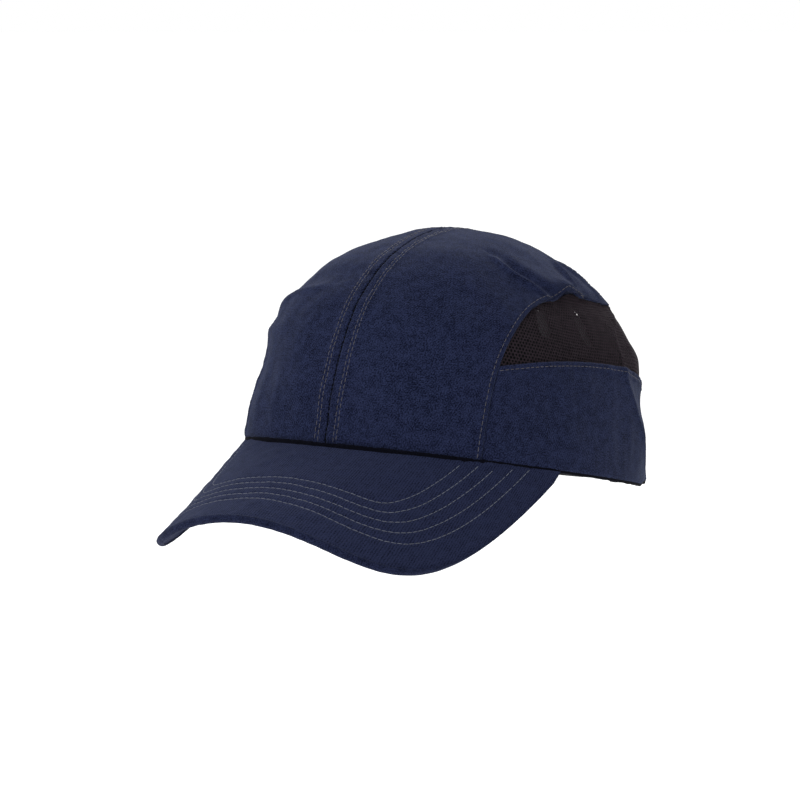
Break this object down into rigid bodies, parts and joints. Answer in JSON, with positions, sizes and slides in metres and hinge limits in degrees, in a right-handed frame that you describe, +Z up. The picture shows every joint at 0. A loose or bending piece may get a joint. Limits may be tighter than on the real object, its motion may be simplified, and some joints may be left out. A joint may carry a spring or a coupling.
{
  "type": "bump cap",
  "caption": "Cloth cap with an arched peak, mesh sides and a rear strap, worn over a removable padded impact shell that takes light knocks to the head.",
  "frame": {"origin": "centre of the head opening, in the plane of the hem", "axes": "+Z is up as the cap is worn, -Y points along the peak, +X is the wearer's left; the hem plane leans 12 degrees back"},
  "size_m": [0.18, 0.2805, 0.1407],
  "materials": {
    "navy_twill": "brushed cotton twill, matt",
    "knitted_mesh": "open warp-knitted polyester mesh, matt",
    "binding_tape": "folded cotton tape, matt",
    "peak_board": "moulded polyethylene sheet",
    "webbing": "woven nylon webbing",
    "hook_and_loop": "hook-and-loop tape",
    "shell_plastic": "moulded ABS, fine texture",
    "foam": "closed-cell EVA foam",
    "sweatband_cloth": "brushed terry on foam"
  },
  "bodies": {
    "cover": {"crown_panel_left": "navy_twill", "crown_panel_right": "navy_twill", "side_mesh_left": "knitted_mesh", "side_mesh_right": "knitted_mesh", "rear_mesh": "knitted_mesh", "side_band_left": "navy_twill", "side_band_right": "navy_twill", "centre_seam_tape": "binding_tape", "hem_binding": "binding_tape", "arch_binding": "binding_tape", "peak_upper_cloth": "navy_twill", "peak_board": "peak_board", "peak_under_cloth": "navy_twill", "peak_edge_binding": "binding_tape", "fixed_strap": "webbing"},
    "insert": {"impact_shell": "shell_plastic", "front_pad": "foam", "crown_pad": "foam", "side_pad_left": "foam", "side_pad_right": "foam", "rear_pad": "foam", "sweatband": "sweatband_cloth"},
    "sliding_strap": {"sliding_strap": "webbing", "loop_patch": "hook_and_loop"},
    "strap_tip": {"strap_tip": "webbing", "hook_patch": "hook_and_loop"}
  },
  "joints": [
    {"name": "insert_slide", "type": "slide", "parent": "cover", "child": "insert", "axis": [0, -0.2079, -0.9781], "range_m": [0, 0.12]},
    {"name": "strap_adjust", "type": "hinge", "parent": "cover", "child": "sliding_strap", "pos_m": [0, 0.01839, -0.00391], "axis": [0, 0.2079, 0.9781], "range_deg": [-12, 14]},
    {"name": "tip_peel", "type": "hinge", "parent": "cover", "child": "strap_tip", "pos_m": [-0.006, 0.1023, -0.02175], "axis": [0, 0.2079, 0.9781], "range_deg": [0, 70]}
  ]
}
